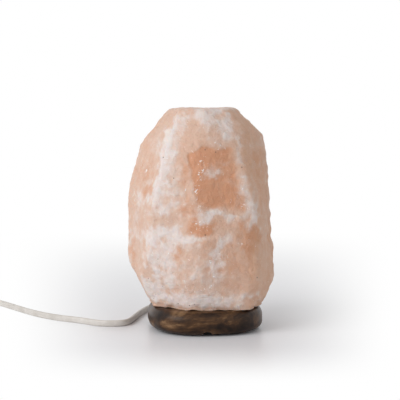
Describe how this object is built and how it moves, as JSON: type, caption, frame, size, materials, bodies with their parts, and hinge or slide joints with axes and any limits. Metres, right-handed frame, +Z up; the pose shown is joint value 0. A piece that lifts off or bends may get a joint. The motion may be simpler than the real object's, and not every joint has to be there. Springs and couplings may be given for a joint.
{
  "type": "salt crystal lamp",
  "caption": "Chiselled rock salt block on a round dark wooden base, lit inside by a screw bulb in a holder held by a spring strip, with a corded rocker switch and plug.",
  "frame": {"origin": "middle of the footprint of the lamp without its cord, on the table", "axes": "+Z up, -Y towards the front as seen in the picture, the cord leaves at the back (+Y) and runs to -X"},
  "size_m": [0.3958, 0.1887, 0.19],
  "materials": {
    "salt": "rough, chiselled and dulled",
    "dark_wood": "dark stained, satin lacquer",
    "felt": "felt",
    "steel": "plain",
    "nickel": "nickel plated",
    "brass": "plain",
    "white_plastic": "moulded",
    "black_plastic": "moulded",
    "cream_insulator": "moulded",
    "dowel_plastic": "moulded",
    "cord_jacket": "satin, slightly dusty",
    "brown_insulation": "extruded",
    "blue_insulation": "extruded",
    "bulb_glass": "clear",
    "tungsten": "fine wire",
    "tie_plastic": "flat strip"
  },
  "bodies": {
    "cord_set": {"holder_cap": "white_plastic", "holder_shell": "white_plastic", "holder_core": "cream_insulator", "thread_sleeve": "brass", "centre_contact": "brass", "terminal_blocks": "brass", "terminal_screws": "steel", "cord_grip": "dowel_plastic", "live_core": "brown_insulation", "neutral_core": "blue_insulation", "spring_clip": "steel", "switch_tray": "white_plastic", "switch_cover": "white_plastic", "switch_contacts": "brass", "neutral_link": "brass", "cord_clamps": "white_plastic", "switch_screws": "steel", "switch_cores": "brown_insulation", "plug_strain_relief": "white_plastic", "plug_body": "white_plastic", "plug_pins": "nickel", "pin_sleeves": "black_plastic", "cord_to_lamp": "cord_jacket", "cord_to_coil": "cord_jacket", "cord_to_plug": "cord_jacket", "cord_coil": "cord_jacket", "coil_tie": "tie_plastic"},
    "lamp": {"salt_crystal": "salt", "wood_base": "dark_wood", "felt_pad_back_right": "felt", "felt_pad_back_left": "felt", "felt_pad_front_left": "felt", "felt_pad_front_right": "felt", "base_screws": "steel", "crystal_dowels": "dowel_plastic"},
    "bulb_carrier": {"bulb_contact": "nickel"},
    "bulb": {"bulb_cap": "nickel", "bulb_insulator": "black_plastic", "glass_envelope": "bulb_glass", "glass_stem": "bulb_glass", "lead_wires": "nickel", "filament": "tungsten"},
    "rocker": {"switch_rocker": "white_plastic"},
    "seesaw": {"seesaw_contact": "brass"}
  },
  "joints": [
    {"name": "lamp_lift", "type": "slide", "parent": "cord_set", "child": "lamp", "axis": [0, 0, 1], "range_m": [0, 0.11]},
    {"name": "bulb_rise", "type": "slide", "parent": "cord_set", "child": "bulb_carrier", "axis": [0, 0, 1], "range_m": [0, 0.0113]},
    {"name": "bulb_turn", "type": "hinge", "parent": "bulb_carrier", "child": "bulb", "pos_m": [0.006, -0.003, 0.038], "axis": [0, 0, 1], "range_deg": [0, 1440]},
    {"name": "switch_rocker", "type": "hinge", "parent": "cord_set", "child": "rocker", "pos_m": [-0.2517, 0.1153, 0.014], "axis": [-0.1392, -0.9903, 0], "range_deg": [0, 16]},
    {"name": "switch_seesaw", "type": "hinge", "parent": "cord_set", "child": "seesaw", "pos_m": [-0.2517, 0.1153, 0.0056], "axis": [-0.1392, -0.9903, 0], "range_deg": [-14, 0]}
  ],
  "couplings": [
    {"joint": "bulb_rise", "follows": "bulb_turn", "m_per_rad": 0.00044882},
    {"joint": "switch_seesaw", "follows": "switch_rocker", "ratio": -0.875}
  ]
}
